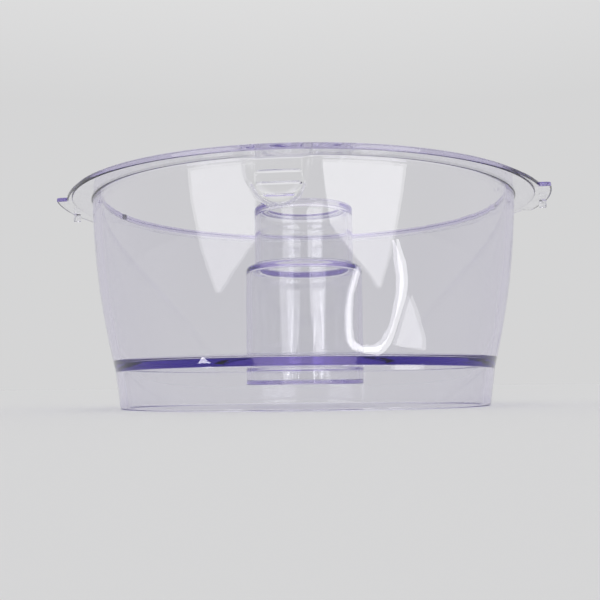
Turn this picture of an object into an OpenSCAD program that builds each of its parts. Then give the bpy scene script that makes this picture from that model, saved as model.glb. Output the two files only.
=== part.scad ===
// Clear work bowl that nests inside a food processor's main bowl.
// Millimetres, +Z up, origin on the bowl's axis at the plane of the base edge.
// The pieces stack face to face: skirt, floor and wall, then the rim with its two ears.
// The hub stands on the floor in the middle and lets the drive spindle through.

/* [Bowl] */
// Height from the base edge to the top of the rim
bowl_h = 98; // [90:0.5:110]
// Thickness of the side wall and the skirt
wall_t = 3.6; // [3:0.1:4]
// Outer radius at the base edge
base_r = 85.9; // [84:0.1:87.5]
// Outer radius where the skirt meets the floor
knee_r = 88.3; // [87.6:0.1:90]
// Outer radius of the wall under the rim
top_r = 99.2; // [98:0.1:100]
// Radius of the wall's outward curve, seen from the side
wall_bow_r = 343; // [300:1:600]

/* [Floor] */
// Height of the floor's underside
floor_z = 17.6; // [15:0.1:22]
// Thickness of the floor
floor_t = 3.4; // [2.5:0.1:4]

/* [Rim] */
// Outer radius of the rim
rim_r = 108.5; // [107:0.1:112]
// Thickness of the rim
rim_t = 2.4; // [2:0.1:3]
// Radius of the blend between the wall and the rim
rim_blend = 0.6; // [0.4:0.1:3]
// Rounding of the rim's upper edges
edge_round = 0.7; // [0.4:0.1:0.9]
// Rounding of the rim's lower outer edge
low_round = 0.5; // [0.1:0.1:0.6]

/* [Ears] */
// Radius of the ears' outer edge
ear_r = 115.8; // [113:0.1:118]
// Half the angle that an ear spans
ear_half_angle = 14.9; // [10:0.1:16]
// Thickness of an ear, which is flush with the rim's top
ear_t = 1.8; // [1.5:0.1:2.4]
// Radius that the rim swells to at the ears
swell_r = 111.1; // [110:0.1:112]
// Angle from an ear's middle at which the swelling has died out
swell_angle = 32; // [24:0.5:40]
// Radius from the bowl's axis to an ear's stub
stub_at = 114; // [111:0.1:114]
// Angle that a stub is set back from its ear's middle
stub_back = 2; // [0:0.1:4]
// Radius of a stub
stub_r = 1.7; // [1:0.1:2]
// Length of a stub below its ear
stub_l = 3.5; // [2:0.1:4]

/* [Thumb grip] */
// Width of the recess at the wall's surface
grip_w = 29.6; // [24:0.2:32]
// Width of the ribbed back of the recess
grip_back_w = 18.6; // [16:0.2:22]
// Height of the recess below the rim
grip_h = 17.8; // [16:0.1:20]
// Depth of the recess at the rim
grip_depth = 3.2; // [2.5:0.1:4]
// Thickness of the recess's own wall
grip_t = 2.8; // [2:0.1:3]
// Distance from the rim down to the first rib
rib_drop = 5.1; // [4:0.1:6]
// Distance from one rib to the next
rib_pitch = 4.6; // [4:0.1:5]
// Height that a rib stands out
rib_h = 0.5; // [0.4:0.1:1.2]

/* [Hub] */
// Outer radius of the lower tube
hub_low_r = 27.7; // [26:0.1:30]
// Outer radius of the upper tube
hub_up_r = 23.5; // [20:0.1:24.5]
// Thickness of the tubes and the shoulder
hub_t = 2.4; // [2:0.1:3]
// Height of the shoulder's top face
shoulder_z = 66.6; // [55:0.1:75]
// Height of the hub's top face
hub_top_z = 95.5; // [85:0.1:97]
// Height of the ring that closes in the top of the hub
top_ring_h = 4.5; // [3:0.1:8]
// Radius of the hole in that ring
top_hole_r = 17.5; // [14:0.1:18.5]
// Height of the foot's lower end, below the floor
foot_z = 10.5; // [6:0.1:13]
// Thickness of the plate across the foot's lower end
foot_plate_t = 1.8; // [1.2:0.1:3]
// Radius of the hole in that plate
foot_hole_r = 12; // [8:0.5:20]

/* [Hidden] */
$fn = 96;
clear_plastic = [0.84, 0.84, 0.90];
tinted_plastic = [0.45, 0.38, 0.70];
rim_z = bowl_h - rim_t;
wall_z = floor_z + floor_t;
arc_steps = 16;
blend_steps = 5;

// Centre of the wall's bow: a circle of wall_bow_r through the knee and the top of the wall
chord = [top_r - knee_r, rim_z - floor_z];
chord_mid = [(top_r + knee_r) / 2, (rim_z + floor_z) / 2];
chord_out = [-chord[1], chord[0]] / norm(chord);
bow_centre = chord_mid + chord_out * sqrt(pow(wall_bow_r, 2) - pow(norm(chord) / 2, 2));
function wall_r(z) = bow_centre[0] + sqrt(pow(wall_bow_r, 2) - pow(z - bow_centre[1], 2));
mouth_r = wall_r(rim_z) - wall_t;
neck_r = wall_r(rim_z) + rim_blend;

// Points of a quarter round of radius r about c, from angle a0 to a1
function round_points(c, r, a0, a1, n) =
  [for (i = [0:n]) c + r * [cos(a0 + (a1 - a0) * i / n), sin(a0 + (a1 - a0) * i / n)]];

// Heights shared by the two faces of the wall
wall_heights = [for (i = [0:arc_steps]) wall_z + (rim_z - wall_z) * i / arc_steps];

// Recess: a scoop that flares outwards, joined with a narrower straight one for its ribbed back
back_r = wall_r(rim_z) - grip_depth;
grip_slope = (grip_w - grip_back_w) / 2 / grip_depth;
grip_shift = grip_t * sqrt(1 + pow(grip_slope, 2)) / grip_slope;
flare_z = rim_z - grip_h + grip_w / 2;
back_z = rim_z - grip_h + grip_back_w / 2;
scoop_in = 2;
scoop_out = 12;
plug_r = grip_w / 2 + 3.6;
rib_count = 3;

module ring(r_out, r_in, z0, z1) {
  translate([0, 0, z0]) difference() {
    cylinder(h = z1 - z0, r = r_out, $fn = 180);
    translate([0, 0, -1]) cylinder(h = z1 - z0 + 2, r = r_in, $fn = 180);
  }
}

// The wall all round, with its blend out to the rim and its rounded mouth
module wall_shell() {
  outside = [for (z = wall_heights) if (z < rim_z - rim_blend - 0.3) [wall_r(z), z]];
  blend = round_points([neck_r, rim_z - rim_blend], rim_blend, 180, 90, blend_steps);
  mouth = round_points([mouth_r + edge_round, bowl_h - edge_round], edge_round, 90, 180, 4);
  inside = [for (i = [arc_steps:-1:0]) [wall_r(wall_heights[i]) - wall_t, wall_heights[i]]];
  rotate_extrude($fn = 180) polygon(concat(outside, blend, [[neck_r, bowl_h]], mouth, inside));
}

// Round-bottomed upright slot of half-width r, from y0 outwards to y1
module slot(r, z, y0, y1) {
  translate([0, y0, z]) rotate([90, 0, 0]) cylinder(h = y0 - y1, r = r);
  translate([-r, y1, z]) cube([2 * r, y0 - y1, bowl_h + 1 - z]);
}

// The two scoops, moved inwards by shift, with the straight one widened to back_half
module scoops(shift, back_half) {
  y0 = -back_r + shift + scoop_in;
  y1 = -back_r + shift - scoop_out;
  r0 = grip_back_w / 2 - grip_slope * scoop_in;
  r1 = grip_back_w / 2 + grip_slope * scoop_out;
  translate([0, y0, flare_z]) rotate([90, 0, 0]) cylinder(h = y0 - y1, r1 = r0, r2 = r1);
  translate([0, 0, flare_z]) linear_extrude(bowl_h + 1 - flare_z)
    polygon([[-r0, y0], [r0, y0], [r1, y1], [-r1, y1]]);
  slot(back_half, back_z, y0 + 4, y1);
}

// Hollow that the thumb goes into, down to the curved back of the grip
module recess() {
  difference() {
    scoops(0, grip_back_w / 2);
    cylinder(h = bowl_h * 2, r = back_r, $fn = 180);
  }
}

// The same form with its wall added on the inside of the bowl
module recess_skin() {
  difference() {
    scoops(grip_shift, grip_back_w / 2 + grip_t * 0.9);
    cylinder(h = bowl_h * 2, r = back_r - grip_t, $fn = 180);
  }
}

// Outline that the grip fills in the wall, up to the rim's underside
module grip_plug() {
  intersection() {
    slot(plug_r, flare_z, -back_r + 14, -back_r - 10);
    cylinder(h = rim_z, r = rim_r, $fn = 180);
  }
}

module base_skirt() {
  foot_round = 0.9;
  outer_low = [base_r - foot_round, foot_round];
  inner_low = [base_r - wall_t + foot_round, foot_round];
  color(clear_plastic) rotate_extrude($fn = 180) polygon(concat(
    round_points(inner_low, foot_round, 180, 270, 4),
    round_points(outer_low, foot_round, 270, 360, 4),
    [[knee_r, floor_z], [knee_r - wall_t, floor_z]]
  ));
}

module floor_plate() {
  color(tinted_plastic) difference() {
    translate([0, 0, floor_z]) cylinder(h = floor_t, r1 = knee_r, r2 = wall_r(wall_z), $fn = 180);
    translate([0, 0, floor_z - 1]) cylinder(h = floor_t + 2, r = hub_low_r - hub_t);
  }
}

module side_wall() {
  color(clear_plastic) difference() {
    union() {
      wall_shell();
      // The mouth's edge runs on over the recess
      intersection() {
        translate([0, 0, rim_z]) cylinder(h = rim_t, r = mouth_r + edge_round, $fn = 180);
        recess_skin();
      }
    }
    grip_plug();
  }
}

module thumb_grip() {
  color(clear_plastic) difference() {
    intersection() {
      union() {
        wall_shell();
        recess_skin();
      }
      grip_plug();
    }
    recess();
    // The recess's skin stays inside the bowl's own outer face
    difference() {
      cylinder(h = rim_z, r = rim_r + 5, $fn = 180);
      cylinder(h = rim_z * 3, r = neck_r, center = true, $fn = 180);
    }
  }
}

module grip_ribs() {
  rib_w = 1.2;
  color(clear_plastic) for (i = [1:rib_count])
    intersection() {
      translate([0, 0, rim_z - rib_drop - (i - 1) * rib_pitch]) rotate_extrude($fn = 180) polygon([
        [back_r, -rib_w / 2], [back_r + rib_h * 0.7, -rib_w / 2 + 0.1], [back_r + rib_h, 0],
        [back_r + rib_h * 0.7, rib_w / 2 - 0.1], [back_r, rib_w / 2]
      ]);
      recess();
    }
}

module rim_flange() {
  lower = [rim_r - low_round, rim_z + low_round];
  upper = [rim_r - edge_round, bowl_h - edge_round];
  color(clear_plastic) rotate_extrude($fn = 180) polygon(concat(
    [[neck_r, rim_z]],
    round_points(lower, low_round, 270, 360, 4),
    round_points(upper, edge_round, 0, 90, 4),
    [[neck_r, bowl_h]]
  ));
}

// Point on the swelling, from the ear's corner at t = 0 to the rim's own circle at t = 1
function swell_radius(t) = rim_r + (swell_r - rim_r) * pow(1 - t, 1.3);
function swell_at(t, a) = swell_radius(t) * [cos(a), sin(a)];

// One ear at +X: a tab with a wide swelling of the rim on either side of it
module ear() {
  corner = swell_r * [cos(ear_half_angle), sin(ear_half_angle)];
  tip_angle = ear_half_angle - 0.9;
  tip = ear_r * [cos(tip_angle), sin(tip_angle)];
  span = swell_angle - ear_half_angle;
  swell = [for (i = [0:8]) swell_at(i / 8, ear_half_angle + span * i / 8)];
  under_swell = [for (i = [8:-1:0]) [swell[i][0], -swell[i][1]]];
  translate([0, 0, bowl_h - ear_t]) linear_extrude(ear_t) difference() {
    union() {
      polygon(concat([[0, 0]], under_swell, swell));
      intersection() {
        circle(r = ear_r, $fn = 180);
        polygon([[0, 0], [corner[0], -corner[1]], [tip[0], -tip[1]], [ear_r + 2, -tip[1] + 1],
          [ear_r + 2, tip[1] - 1], tip, corner]);
      }
    }
    circle(r = rim_r, $fn = 180);
  }
}

module ear_stub() {
  stub_round = 0.5;
  z_low = bowl_h - ear_t - stub_l;
  rotate([0, 0, stub_back]) translate([stub_at, 0, z_low]) rotate_extrude($fn = 48) polygon(concat(
    [[0, 0]],
    round_points([stub_r - stub_round, stub_round], stub_round, 270, 360, 4),
    [[stub_r, stub_l], [0, stub_l]]
  ));
}

module left_ear() {
  color(clear_plastic) mirror([1, 0, 0]) ear();
}

module right_ear() {
  color(clear_plastic) ear();
}

module left_ear_stub() {
  color(clear_plastic) mirror([1, 0, 0]) ear_stub();
}

module right_ear_stub() {
  color(clear_plastic) ear_stub();
}

module hub_foot() {
  foot_round = 0.5;
  r_in = hub_low_r - hub_t;
  color(clear_plastic) rotate_extrude($fn = 144) polygon(concat(
    [[r_in, foot_z]],
    round_points([hub_low_r - foot_round, foot_z + foot_round], foot_round, 270, 360, 4),
    [[hub_low_r, floor_z], [r_in, floor_z]]
  ));
}

module hub_foot_plate() {
  color(tinted_plastic) ring(hub_low_r - hub_t, foot_hole_r, foot_z, foot_z + foot_plate_t);
}

module hub_lower_tube() {
  color(clear_plastic) ring(hub_low_r, hub_low_r - hub_t, wall_z, shoulder_z - hub_t);
}

module hub_shoulder() {
  corner = 2.2;
  r_in = hub_up_r - hub_t;
  z_low = shoulder_z - hub_t;
  color(tinted_plastic) rotate_extrude($fn = 144) polygon(concat(
    [[r_in, z_low], [hub_low_r, z_low]],
    round_points([hub_low_r - corner, shoulder_z - corner], corner, 0, 90, 6),
    [[r_in, shoulder_z]]
  ));
}

module hub_upper_tube() {
  color(clear_plastic) ring(hub_up_r, hub_up_r - hub_t, shoulder_z, hub_top_z - top_ring_h);
}

module hub_top_ring() {
  corner = 1.6;
  z_low = hub_top_z - top_ring_h;
  plate_z = hub_top_z - hub_t;
  r_in = hub_up_r - hub_t;
  color(clear_plastic) rotate_extrude($fn = 144) polygon(concat(
    [[r_in, z_low], [hub_up_r, z_low]],
    round_points([hub_up_r - corner, hub_top_z - corner], corner, 0, 90, 4),
    [[top_hole_r, hub_top_z], [top_hole_r, plate_z]],
    round_points([r_in - plate_z + z_low, z_low], plate_z - z_low, 90, 0, 4)
  ));
}

base_skirt();
floor_plate();
side_wall();
thumb_grip();
grip_ribs();
rim_flange();
left_ear();
right_ear();
left_ear_stub();
right_ear_stub();
hub_foot();
hub_foot_plate();
hub_lower_tube();
hub_shoulder();
hub_upper_tube();
hub_top_ring();
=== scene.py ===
"""Clear nested work bowl of a food processor, on a pale floor in soft studio light."""
import math

import bpy
import numpy as np
from mathutils import Matrix, Vector


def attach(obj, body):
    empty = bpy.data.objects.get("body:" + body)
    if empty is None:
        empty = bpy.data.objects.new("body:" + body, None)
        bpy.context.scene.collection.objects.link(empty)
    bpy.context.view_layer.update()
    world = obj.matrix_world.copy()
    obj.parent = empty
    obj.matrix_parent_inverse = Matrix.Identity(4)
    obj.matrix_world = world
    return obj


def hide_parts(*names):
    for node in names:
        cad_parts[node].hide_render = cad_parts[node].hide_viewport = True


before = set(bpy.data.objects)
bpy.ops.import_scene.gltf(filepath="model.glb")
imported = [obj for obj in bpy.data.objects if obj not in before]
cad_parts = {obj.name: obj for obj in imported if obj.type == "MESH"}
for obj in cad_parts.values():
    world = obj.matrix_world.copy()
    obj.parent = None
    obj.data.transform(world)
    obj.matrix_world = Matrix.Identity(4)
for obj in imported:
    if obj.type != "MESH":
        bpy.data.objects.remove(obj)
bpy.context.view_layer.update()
MM = 0.001
VIEW_TURN = 5.5  # degrees that the camera stands round to the right of the bowl's front

# Sizes in millimetres, as in the CAD
BASE_R, KNEE_R, TOP_R, BOW_R = 85.9, 88.3, 99.2, 343.0
WALL_T, FLOOR_Z, FLOOR_T = 3.6, 17.6, 3.4
HEIGHT, RIM_R, RIM_T, RIM_BLEND, EDGE, LOW_EDGE = 98.0, 108.5, 2.4, 0.6, 0.7, 0.5
EAR_R, EAR_HALF, SWELL_R, SWELL_END, EAR_T = 115.8, 14.9, 111.1, 32.0, 1.8
STUB_AT, STUB_R, STUB_L, STUB_BACK = 114.0, 1.7, 3.5, 2.0
GRIP_W, GRIP_BACK_W, GRIP_H, GRIP_DEPTH, GRIP_T = 29.6, 18.6, 17.8, 3.2, 2.8
GRIP_AT, GRIP_SPAN = 270, 12.6  # degrees round the bowl (270 is -Y), and how far to each side it may reach
OUTER_FROM_Z, INNER_FROM_Z = 75, 70  # the grip shapes the wall's faces above these heights
EAR_FROM_R = 103  # the rim's top widens into the ears from here outwards
MOUTH_FADE = 6  # width at the mouth over which the rim's top follows the grip
RIB_DROP, RIB_PITCH, RIB_H, RIB_W, RIBS = 5.1, 4.6, 0.5, 1.2, 3
HUB_LOW_R, HUB_UP_R, HUB_T = 27.7, 23.5, 2.4
SHOULDER_Z, HUB_TOP_Z, TOP_RING_H, TOP_HOLE_R = 66.6, 95.5, 4.5, 17.5
FOOT_Z, FOOT_PLATE_T, FOOT_HOLE_R = 10.5, 1.8, 12.0
RIM_Z = HEIGHT - RIM_T

# Circle that the wall's outer face follows, seen from the side
chord = np.array([TOP_R - KNEE_R, RIM_Z - FLOOR_Z])
chord_len = np.linalg.norm(chord)
bow = np.array([(TOP_R + KNEE_R) / 2, (RIM_Z + FLOOR_Z) / 2])
bow = bow + np.array([-chord[1], chord[0]]) / chord_len * math.sqrt(BOW_R**2 - (chord_len / 2) ** 2)


def wall_r(z):
    """Radius of the wall's outer face at height z."""
    return bow[0] + np.sqrt(BOW_R**2 - (z - bow[1]) ** 2)


MOUTH_R = float(wall_r(RIM_Z)) - WALL_T
BACK_R = float(wall_r(RIM_Z)) - GRIP_DEPTH
SLOPE = (GRIP_W - GRIP_BACK_W) / 2 / GRIP_DEPTH
FLARE_Z = RIM_Z - GRIP_H + GRIP_W / 2
BACK_Z = RIM_Z - GRIP_H + GRIP_BACK_W / 2


# ---------------------------------------------------------------- the bowl
def arc(cr, cz, r, a0, a1, n):
    """Points of a round in the profile, from angle a0 to a1 in degrees."""
    angles = np.radians(np.linspace(a0, a1, n + 1))
    return [(cr + r * math.cos(a), cz + r * math.sin(a)) for a in angles]


def rounded(points, radii, start, end, step=6.0):
    """Path through the points with its corners rounded. A point lies close to both ends of each
    straight run, so that the shading of a round stays on the round."""
    pts = [np.array(p, float) for p in [start] + points + [end]]
    out, run_from = [], pts[0]
    for i, radius in enumerate(radii, start=1):
        u = (pts[i - 1] - pts[i]) / np.linalg.norm(pts[i - 1] - pts[i])
        v = (pts[i + 1] - pts[i]) / np.linalg.norm(pts[i + 1] - pts[i])
        half = math.acos(np.clip(np.dot(u, v), -1, 1)) / 2
        cut = radius / math.tan(half)
        first, last = pts[i] + u * cut, pts[i] + v * cut
        centre = pts[i] + (u + v) / np.linalg.norm(u + v) * radius / math.sin(half)
        out += straight_run(run_from, first, step)
        n = max(2, int(math.ceil((math.pi - 2 * half) / math.radians(20))))
        a0 = math.atan2(*(first - centre)[::-1])
        a1 = math.atan2(*(last - centre)[::-1])
        turn = (a1 - a0 + math.pi) % (2 * math.pi) - math.pi
        for k in range(n + 1):
            a = a0 + turn * k / n
            out.append(tuple(centre + radius * np.array([math.cos(a), math.sin(a)])))
        run_from = last
    return out + straight_run(run_from, pts[-1], step)


def straight_run(p, q, step):
    """Points of a straight run from p to q, about step apart, that stay 0.1 inside its ends."""
    length = float(np.linalg.norm(q - p))
    if length < 0.3:
        return []
    n = max(1, int(length / step))
    t = [0.1 / length] + [k / n for k in range(1, n)] + [1 - 0.1 / length]
    return [tuple(p + (q - p) * k) for k in t]


grip_rows = list(np.arange(75.2, 93.2, 0.45))
rib_z = [RIM_Z - RIB_DROP - i * RIB_PITCH for i in range(RIBS)]
for z in rib_z:
    grip_rows = [g for g in grip_rows if abs(g - z) > RIB_W / 2 + 0.1]
    grip_rows += list(np.linspace(z - RIB_W / 2, z + RIB_W / 2, 7))
ends = [RIM_Z - RIM_BLEND - 0.12, RIM_Z - RIM_BLEND - 0.01]
wall_rows = sorted(list(np.arange(FLOOR_Z + 2.0, 74.5, 2.0)) + grip_rows + ends)
ends = [HEIGHT - EDGE - 0.12, HEIGHT - EDGE - 0.01]
inner_rows = sorted(list(np.arange(24.5, 69.0, 2.0)) + list(np.arange(69.5, 97.0, 0.6)) + ends, reverse=True)

profile = []


def add(kind, points):
    """Add points to the profile. The kind says what later shapes them: the grip, the ears or nothing."""
    profile.extend((kind, float(r), float(z)) for r, z in points)


top_of_wall = float(wall_r(RIM_Z))
ear_z = HEIGHT - EAR_T
add("wall", [(float(wall_r(z)), z) for z in wall_rows])
add("blend", arc(top_of_wall + RIM_BLEND, RIM_Z - RIM_BLEND, RIM_BLEND, 180, 90, 6))
under_in, under_out = np.array([top_of_wall + RIM_BLEND, RIM_Z]), np.array([RIM_R - LOW_EDGE, RIM_Z])
add("under", straight_run(under_in, under_out, 2.0))
add("ring", arc(RIM_R - LOW_EDGE, RIM_Z + LOW_EDGE, LOW_EDGE, 270, 360, 6))
add("ring", [(RIM_R, ear_z)])
add("ear", [(RIM_R - 0.3, ear_z + 0.005)])
add("ear", [(r, z + 0.01) for r, z in arc(RIM_R - 0.15, ear_z + 0.15, 0.15, 270, 360, 4)])
add("edge", [(RIM_R, ear_z + 0.35), (RIM_R, HEIGHT - EDGE - 0.1)])
add("edge", arc(RIM_R - EDGE, HEIGHT - EDGE, EDGE, 0, 90, 5))
top_out, top_in = np.array([RIM_R - EDGE, HEIGHT]), np.array([MOUTH_R + EDGE, HEIGHT])
add("top", straight_run(top_out, top_in, 2.0))
add("mouth", arc(MOUTH_R + EDGE, HEIGHT - EDGE, EDGE, 90, 180, 5))
add("inner", [(float(wall_r(z)) - WALL_T, z) for z in inner_rows])
floor_top = FLOOR_Z + FLOOR_T
low, up = HUB_LOW_R - HUB_T, HUB_UP_R - HUB_T
plate, under = HUB_TOP_Z - HUB_T, SHOULDER_Z - HUB_T
corners = [
    (float(wall_r(floor_top)) - WALL_T, floor_top, 2.0),
    (HUB_LOW_R, floor_top, 1.0),
    (HUB_LOW_R, SHOULDER_Z, 2.2),
    (HUB_UP_R, SHOULDER_Z, 1.4),
    (HUB_UP_R, HUB_TOP_Z, 1.6),
    (TOP_HOLE_R, HUB_TOP_Z, 0.5),
    (TOP_HOLE_R, plate, 0.3),
    (up, plate, TOP_RING_H - HUB_T),
    (up, under, 1.4),
    (low, under, 1.0),
    (low, FOOT_Z + FOOT_PLATE_T, 0.4),
    (FOOT_HOLE_R, FOOT_Z + FOOT_PLATE_T, 0.2),
    (FOOT_HOLE_R, FOOT_Z, 0.2),
    (HUB_LOW_R, FOOT_Z, 0.5),
    (HUB_LOW_R, FLOOR_Z, 0.6),
    (KNEE_R - WALL_T, FLOOR_Z, 0.3),
    (BASE_R - WALL_T, 0.0, 0.9),
    (BASE_R, 0.0, 0.9),
    (KNEE_R, FLOOR_Z, 4.0),
]
z_in, z_out = inner_rows[-1], wall_rows[0]
start = (float(wall_r(z_in)) - WALL_T, z_in)
end = (float(wall_r(z_out)), z_out)
add("body", rounded([c[:2] for c in corners], [c[2] for c in corners], start, end))

kinds = np.array([p[0] for p in profile])
prof_r = np.array([p[1] for p in profile], float)
prof_z = np.array([p[2] for p in profile], float)

# Angles round the bowl, closer together at the grip (-Y) and at the corners of the ears
angles = list(np.arange(0, 360, 1.25))
angles += list(GRIP_AT + np.arange(-12.5, GRIP_SPAN, 0.25))
ear_corner = (13.0, 13.5, 13.7, 13.9, 14.0, 14.1, 14.3, 14.5, 14.7, 14.9, 15.05, 15.3, 15.7)
swell_foot = (31.0, 31.6, 32.2)
for side in (0, 180):
    for a in ear_corner + swell_foot:
        angles += [(side + a) % 360, (side - a) % 360]
angles = np.unique(np.round(angles, 3))
keep = np.concatenate([np.diff(angles) > 0.06, [True]])
angles = angles[keep]


def rim_outline(a):
    """Outer radius of the rim and the ears at angle a in degrees."""
    a = np.abs((a + 90) % 180 - 90)
    t = np.clip((a - EAR_HALF) / (SWELL_END - EAR_HALF), 0, 1)
    swell = RIM_R + (SWELL_R - RIM_R) * (1 - t) ** 1.3
    end = EAR_R + (SWELL_R - EAR_R) * (a - (EAR_HALF - 0.9)) / 0.9
    return np.where(a < EAR_HALF - 0.9, EAR_R, np.where(a < EAR_HALF, end, swell))


def smooth_min(a, b, k):
    """The lower of a and b, blended over k where they cross."""
    h = np.clip(0.5 + (b - a) / (2 * k), 0, 1)
    return b + (a - b) * h - k * h * (1 - h)


def smooth_max(a, b, k):
    """The higher of a and b, blended over k where they cross."""
    return -smooth_min(-a, -b, k)


def scoop(x, z, back, back_half):
    """Radius that the thumb recess cuts down to at x, z: the lower of its flared and straight shapes."""
    u = np.where(z > FLARE_Z, np.abs(x), np.hypot(x, np.minimum(z - FLARE_Z, 0)))
    flare = np.hypot(x, np.maximum(back + (u - GRIP_BACK_W / 2) / SLOPE, 1.0))
    v = np.where(z > BACK_Z, np.abs(x), np.hypot(x, np.minimum(z - BACK_Z, 0)))
    straight = back + np.maximum(v - back_half, 0) * 2.0
    cut = smooth_max(smooth_min(flare, straight, 0.5), back, 0.5)
    inside = np.clip((back_half - 0.3 - v) / 0.8, 0, 1)
    return cut, inside


def bowl_mesh():
    """The profile turned round the axis, then pushed in at the grip and out at the ears."""
    n_a, n_p = len(angles), len(profile)
    a = np.radians(angles)[:, None] * np.ones((1, n_p))
    r = np.ones((n_a, 1)) * prof_r[None, :]
    z = np.ones((n_a, 1)) * prof_z[None, :]
    at_grip = (np.abs(angles - GRIP_AT) < GRIP_SPAN)[:, None]

    # Outer face of the thumb recess, with its ribs
    x = r * np.cos(a)
    cut, inside = scoop(x, z, BACK_R, GRIP_BACK_W / 2)
    rib = sum(np.clip(1 - ((z - zc) / (RIB_W / 2)) ** 2, 0, 1) ** 1.5 for zc in rib_z)
    cut = cut + RIB_H * rib * inside
    outer_wall = (kinds == "wall")[None, :] & at_grip & (z > OUTER_FROM_Z)
    r = np.where(outer_wall, smooth_min(r, cut, 0.35), r)
    x_rim = TOP_R * np.cos(a)
    rim_cut, _ = scoop(x_rim, np.full_like(z, RIM_Z), BACK_R, GRIP_BACK_W / 2)
    rim_shift = np.where(at_grip, smooth_min(np.full_like(z, TOP_R), rim_cut, 0.35) - TOP_R, 0)
    r = r + np.where((kinds == "blend")[None, :], rim_shift, 0)
    fade = np.clip((RIM_R - 1 - prof_r) / (RIM_R - 1 - TOP_R - RIM_BLEND), 0, 1)[None, :]
    r = r + np.where((kinds == "under")[None, :], rim_shift * fade, 0)

    # Inner face of the recess, parallel to the outer one and carried up to the mouth
    x_in = (prof_r[None, :] * np.ones((n_a, 1))) * np.cos(a)
    shift = GRIP_T * math.sqrt(1 + SLOPE**2) / SLOPE
    u = np.where(z > FLARE_Z, np.abs(x_in), np.hypot(x_in, np.minimum(z - FLARE_Z, 0)))
    flare = np.hypot(x_in, np.maximum(BACK_R - shift + (u - GRIP_BACK_W / 2) / SLOPE, 1.0))
    face = smooth_max(flare, BACK_R - GRIP_T, 0.8)
    faces_in = np.isin(kinds, ["inner", "mouth", "top"])[None, :] & at_grip & (z > INNER_FROM_Z)
    base = np.where(kinds == "inner", prof_r, MOUTH_R)[None, :] * np.ones((n_a, 1))
    inward = np.where(faces_in, smooth_min(base, face, 0.8) - base, 0)
    fade = np.where(kinds == "top", np.clip((MOUTH_R + MOUTH_FADE - prof_r) / MOUTH_FADE, 0, 1), 1)[None, :]
    r = r + np.minimum(inward, 0) * fade

    # Ears: the rim's outline swells and steps out on both sides
    grow = rim_outline(angles)[:, None] - RIM_R
    share = np.clip((prof_r - EAR_FROM_R) / (RIM_R - EDGE - EAR_FROM_R), 0, 1)[None, :]
    r = r + np.where(np.isin(kinds, ["edge", "top"])[None, :], grow * share, 0)
    r = np.where((kinds == "ear")[None, :], np.maximum(r + grow, RIM_R), r)

    co = np.stack([r * np.cos(a), r * np.sin(a), z], axis=-1).reshape(-1, 3) * MM
    i = np.arange(n_a)[:, None]
    j = np.arange(n_p)[None, :]
    i1, j1 = (i + 1) % n_a, (j + 1) % n_p
    faces = np.stack([i * n_p + j, i1 * n_p + j, i1 * n_p + j1, i * n_p + j1], axis=-1).reshape(-1, 4)
    mesh = bpy.data.meshes.new("clear_bowl")
    mesh.from_pydata(co.tolist(), [], faces.tolist())
    mesh.update()
    return mesh


def stub_mesh(side):
    """Round stub under an ear, reaching up into the ear so that the two join."""
    low = HEIGHT - EAR_T - STUB_L
    pts = [(0.0, low), (STUB_R - 0.6, low)] + arc(STUB_R - 0.5, low + 0.5, 0.5, 270, 360, 4)
    pts += [(STUB_R, low + 0.6), (STUB_R, HEIGHT - EAR_T / 2), (0.0, HEIGHT - EAR_T / 2)]
    n = 40
    cx = side * STUB_AT * math.cos(math.radians(STUB_BACK))
    cy = STUB_AT * math.sin(math.radians(STUB_BACK))
    co = [(cx * MM, cy * MM, pts[0][1] * MM)]
    for r, z in pts[1:-1]:
        turns = [2 * math.pi * k / n for k in range(n)]
        co += [((cx + r * math.cos(t)) * MM, (cy + r * math.sin(t)) * MM, z * MM) for t in turns]
    co.append((cx * MM, cy * MM, pts[-1][1] * MM))
    rows = len(pts) - 2
    faces = [(0, 1 + (k + 1) % n, 1 + k) for k in range(n)]
    for row in range(rows - 1):
        b = 1 + row * n
        faces += [(b + k, b + (k + 1) % n, b + n + (k + 1) % n, b + n + k) for k in range(n)]
    b = 1 + (rows - 1) * n
    faces += [(b + k, b + (k + 1) % n, len(co) - 1) for k in range(n)]
    mesh = bpy.data.meshes.new("stub")
    mesh.from_pydata(co, [], faces)
    mesh.update()
    return mesh


def link(name, mesh):
    """New object in the scene with this mesh."""
    obj = bpy.data.objects.new(name, mesh)
    bpy.context.scene.collection.objects.link(obj)
    return obj


bowl = link("clear_bowl", bowl_mesh())
for side in (-1, 1):
    stub = link("stub_tool", stub_mesh(side))
    mod = bowl.modifiers.new("join", "BOOLEAN")
    mod.operation = "UNION"
    mod.solver = "EXACT"
    mod.object = stub
    bpy.context.view_layer.update()
    joined = bpy.data.meshes.new_from_object(bowl.evaluated_get(bpy.context.evaluated_depsgraph_get()))
    bowl.modifiers.clear()
    bowl.data = joined
    bpy.data.objects.remove(stub)
bowl.data.name = "clear_bowl"
bowl.data.shade_smooth()
bowl.data.set_sharp_from_angle(angle=math.radians(35))
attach(bowl, "root")
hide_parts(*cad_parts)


# ---------------------------------------------------------------- materials
def new_material(name):
    """New node material, with its nodes, links, Principled shader and output."""
    mat = bpy.data.materials.new(name)
    mat.use_nodes = True
    nodes = mat.node_tree.nodes
    return mat, nodes, mat.node_tree.links, nodes["Principled BSDF"], nodes["Material Output"]


clear, nodes, links, shader, out = new_material("clear_violet_plastic")
shader.inputs["Base Color"].default_value = (0.99, 1.0, 0.975, 1.0)
shader.inputs["IOR"].default_value = 1.54
shader.inputs["Transmission Weight"].default_value = 1.0
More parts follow.
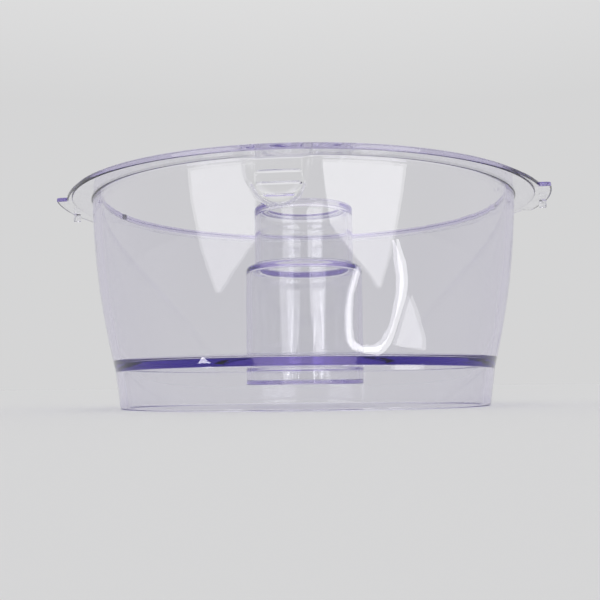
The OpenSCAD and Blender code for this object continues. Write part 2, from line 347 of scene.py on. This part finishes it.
# Moulded surface: slow waves, drawn out along the height, bend the reflections a little, and patches
# of faint scuffs soften them
coord = nodes.new("ShaderNodeTexCoord")
drawn = nodes.new("ShaderNodeMapping")
drawn.inputs["Scale"].default_value = (1.0, 1.0, 0.35)
links.new(coord.outputs["Object"], drawn.inputs["Vector"])
waves = nodes.new("ShaderNodeTexNoise")
waves.inputs["Scale"].default_value = 70.0
waves.inputs["Detail"].default_value = 2.0
links.new(drawn.outputs["Vector"], waves.inputs["Vector"])
bump = nodes.new("ShaderNodeBump")
bump.inputs["Distance"].default_value = 0.00003
links.new(waves.outputs["Fac"], bump.inputs["Height"])
links.new(bump.outputs["Normal"], shader.inputs["Normal"])
scuffs = nodes.new("ShaderNodeTexNoise")
scuffs.inputs["Scale"].default_value = 35.0
scuffs.inputs["Detail"].default_value = 4.0
links.new(coord.outputs["Object"], scuffs.inputs["Vector"])
haze = nodes.new("ShaderNodeMapRange")
haze.inputs["From Min"].default_value = 0.45
haze.inputs["From Max"].default_value = 0.75
haze.inputs["To Max"].default_value = 0.04
links.new(scuffs.outputs["Fac"], haze.inputs["Value"])
links.new(haze.outputs["Result"], shader.inputs["Roughness"])
# Violet body colour: red and green are absorbed most, so it shows where light travels far in the wall
tint = nodes.new("ShaderNodeVolumeAbsorption")
tint.inputs["Color"].default_value = (0.272, 0.12, 0.73, 1.0)
tint.inputs["Density"].default_value = 25.0
links.new(tint.outputs["Volume"], out.inputs["Volume"])
bowl.data.materials.clear()
bowl.data.materials.append(clear)

# ---------------------------------------------------------------- floor
floor_mat, _, _, shader, _ = new_material("pale_floor")
shader.inputs["Base Color"].default_value = (0.80, 0.80, 0.803, 1.0)
shader.inputs["Roughness"].default_value = 0.9
shader.inputs["Specular IOR Level"].default_value = 0.0
floor_mesh = bpy.data.meshes.new("floor")
far = 30.0  # metres to the floor's edge, so that it reaches the horizon
floor_mesh.from_pydata([(-far, -far, 0), (far, -far, 0), (far, far, 0), (-far, far, 0)], [], [(0, 1, 2, 3)])
floor_mesh.materials.append(floor_mat)
floor = link("floor", floor_mesh)

# ---------------------------------------------------------------- light
# Soft studio light from all round: a little darker on the camera's side, and brightest overhead
world = bpy.data.worlds.new("studio")
bpy.context.scene.world = world
world.use_nodes = True
wn, wl = world.node_tree.nodes, world.node_tree.links
wn.clear()
coord = wn.new("ShaderNodeTexCoord")
sep = wn.new("ShaderNodeSeparateXYZ")
wl.new(coord.outputs["Generated"], sep.inputs[0])
toward = wn.new("ShaderNodeMapRange")
toward.inputs["From Min"].default_value = -0.3
toward.inputs["From Max"].default_value = 0.3
wl.new(sep.outputs["Y"], toward.inputs["Value"])
sides = wn.new("ShaderNodeMix")
sides.data_type = "RGBA"
sides.inputs["A"].default_value = (0.50, 0.50, 0.51, 1)
sides.inputs["B"].default_value = (0.665, 0.665, 0.668, 1)
wl.new(toward.outputs["Result"], sides.inputs["Factor"])
up = wn.new("ShaderNodeMapRange")
up.inputs["From Min"].default_value = 0.3
up.inputs["From Max"].default_value = 0.9
wl.new(sep.outputs["Z"], up.inputs["Value"])
sky = wn.new("ShaderNodeMix")
sky.data_type = "RGBA"
sky.inputs["B"].default_value = (1.0, 1.0, 1.0, 1)
wl.new(up.outputs["Result"], sky.inputs["Factor"])
wl.new(sides.outputs["Result"], sky.inputs["A"])
bg = wn.new("ShaderNodeBackground")
wl.new(sky.outputs["Result"], bg.inputs["Color"])
world_out = wn.new("ShaderNodeOutputWorld")
wl.new(bg.outputs["Background"], world_out.inputs["Surface"])


def lamp(name, azimuth, away, radiance, rows):
    """Plain white panel that stands upright and faces the bowl's axis. azimuth is in degrees from the
    camera's side of the bowl and away is its distance from the axis. Its outline is given in rows from
    end to end, each of two points, across and up, all in millimetres. It shows only in reflections: rays
    that haven't been mirrored go through it, so it neither hides the bowl nor lights the floor."""
    a = math.radians(VIEW_TURN + azimuth)
    out_dir, along = Vector((math.sin(a), -math.cos(a), 0)), Vector((math.cos(a), math.sin(a), 0))
    co = [(out_dir * away + along * u + Vector((0, 0, z))) * MM for pair in rows for u, z in pair]
    faces = [(2 * i, 2 * i + 1, 2 * i + 3, 2 * i + 2) for i in range(len(rows) - 1)]
    mesh = bpy.data.meshes.new(name)
    mesh.from_pydata([tuple(c) for c in co], [], faces)
    mat, nodes, links, shader, _ = new_material(name)
    shader.inputs["Base Color"].default_value = (0, 0, 0, 1)
    shader.inputs["Specular IOR Level"].default_value = 0.0
    shader.inputs["Emission Color"].default_value = (1.0, 1.0, 1.0, 1)
    shader.inputs["Emission Strength"].default_value = radiance
    path, mirrored = nodes.new("ShaderNodeLightPath"), nodes.new("ShaderNodeMath")
    mirrored.operation = "GREATER_THAN"
    mirrored.inputs[1].default_value = 0.5
    links.new(path.outputs["Glossy Depth"], mirrored.inputs[0])
    links.new(mirrored.outputs["Value"], shader.inputs["Alpha"])
    mesh.materials.append(mat)
    obj = link(name, mesh)
    obj.visible_camera = False
    obj.visible_diffuse = False
    obj.visible_shadow = False


# The two large soft panels
lamp("left_panel", -40, 300, 2.6, [
    ((-57, 152), (86, 152)), ((-54, 137), (87, 136)), ((-47, 105), (110, 94)), ((-28, 52), (106, 51)),
    ((0, 2), (10, 2)),
])
lamp("right_panel", 35, 300, 3.0, [
    ((-155, 152), (52, 152)), ((-153, 140), (50, 140)), ((-133, 67), (29, 75)), ((-66, 32), (14, 38)),
    ((-34, 17), (3, 18)), ((-9, 3), (-5, 3)),
])

# The bright ribbon, whose foot comes nearer so that the skirt doesn't mirror it too
lamp("ribbon_left", 40, 128, 6.0, [
    ((-54, 48.5), (-50.5, 47)), ((-60, 33.5), (-56, 32)), ((-61.5, 22.5), (-56, 22)),
    ((-60.5, 11), (-54.5, 12)),
])
lamp("ribbon_foot", 20, 97, 6.0, [
    ((-15.6, 27.6), (-12.6, 27.7)), ((-14.3, 22.2), (-11.3, 23.1)), ((-11.8, 19.2), (-9.2, 21.6)),
    ((-7, 18.2), (-7.1, 20.9)), ((0.9, 16.9), (-1.5, 20.9)), ((3.9, 18.9), (1.4, 22)), ((6, 21.7), (3.4, 24)),
    ((7.4, 26.5), (4.8, 28)),
])
lamp("ribbon_right", 40, 128, 6.0, [
    ((-19, 14.5), (-23, 16)), ((-17, 24), (-21, 24)), ((-14, 34.5), (-20, 36)), ((-14, 42.5), (-21, 44.5)),
    ((-17, 51.5), (-24, 52.5)), ((-24.5, 63.5), (-26, 63)),
])

# Two small panels low down on either side
lamp("wedge", 68, 125, 3.0, [
    ((-71, 33), (-70.5, 33)), ((-74, 26.5), (-63, 26)), ((-77.5, 9.5), (-49, 11)), ((-80, 0.6), (-47.5, 5)),
])
lamp("spark", -30, 95, 12.0, [
    ((1.6, 18.5), (2.6, 18.4)), ((-0.4, 16.7), (3.8, 16.5)), ((-2.4, 15.7), (6.3, 15.4)),
])

# ---------------------------------------------------------------- camera
# Low in front of the bowl and a little to its right, looking slightly up
CAMERA_AWAY, CAMERA_HEIGHT = 0.42894, 0.0093  # metres, from the bowl's axis and above the floor
pitch, yaw, roll = 0.09608, -0.00485 + math.radians(-VIEW_TURN), -0.01126
forward = Vector((math.cos(pitch) * math.sin(yaw), math.cos(pitch) * math.cos(yaw), math.sin(pitch)))
level_right = Vector((math.cos(yaw), -math.sin(yaw), 0))
level_up = level_right.cross(forward)
right = level_right * math.cos(roll) + level_up * math.sin(roll)
upward = level_up * math.cos(roll) - level_right * math.sin(roll)
turn = math.radians(VIEW_TURN)
place = Matrix.Translation((CAMERA_AWAY * math.sin(turn), -CAMERA_AWAY * math.cos(turn), CAMERA_HEIGHT))
cam_data = bpy.data.cameras.new("camera")
cam_data.sensor_width = 36.0
cam_data.lens = 54.02
cam_data.clip_start = 0.005
cam_data.clip_end = 100.0
cam = bpy.data.objects.new("camera", cam_data)
bpy.context.scene.collection.objects.link(cam)
cam.matrix_world = place @ Matrix((right, upward, -forward)).transposed().to_4x4()
bpy.context.scene.camera = cam

# Light crosses many surfaces of the clear bowl, and is trapped for long in its edges
scene = bpy.context.scene
scene.view_settings.view_transform = "Standard"
scene.cycles.max_bounces = 200
scene.cycles.transmission_bounces = 200
scene.cycles.glossy_bounces = 200
scene.cycles.transparent_max_bounces = 16
scene.cycles.blur_glossy = 0.0
scene.cycles.caustics_refractive = True
scene.cycles.caustics_reflective = True
